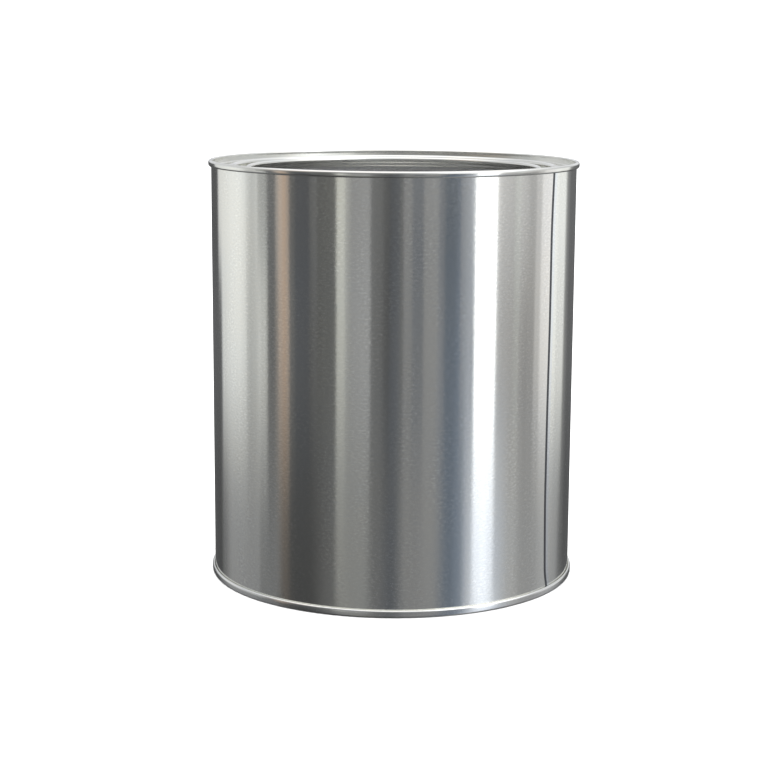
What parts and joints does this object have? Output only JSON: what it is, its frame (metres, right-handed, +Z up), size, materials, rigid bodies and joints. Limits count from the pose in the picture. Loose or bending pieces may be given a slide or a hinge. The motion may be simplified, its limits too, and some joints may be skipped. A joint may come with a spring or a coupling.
{
  "type": "paint can",
  "caption": "Open round tinplate paint can with a welded side seam, a double seamed bottom end and a double seamed top ring that has a lid groove and a curled mouth.",
  "frame": {"origin": "centre of the base, on the plane that the bottom seam stands on", "axes": "+Z up along the can's axis; -Y is the front, with the side weld 55 degrees round from it towards +X"},
  "size_m": [0.1683, 0.1682, 0.1905],
  "materials": {
    "body_tinplate": "bright tinplate with a fine rolling grain round the can",
    "ring_tinplate": "bright pressed tinplate",
    "end_tinplate": "bright pressed tinplate",
    "weld": "dull grey, oxidised by welding",
    "seam_compound": "matt lining compound"
  },
  "bodies": {
    "root": {"body_sheet": "body_tinplate", "side_weld": "weld", "top_ring": "ring_tinplate", "top_seam_compound": "seam_compound", "bottom_end": "end_tinplate", "bottom_seam_compound": "seam_compound"}
  },
  "joints": []
}
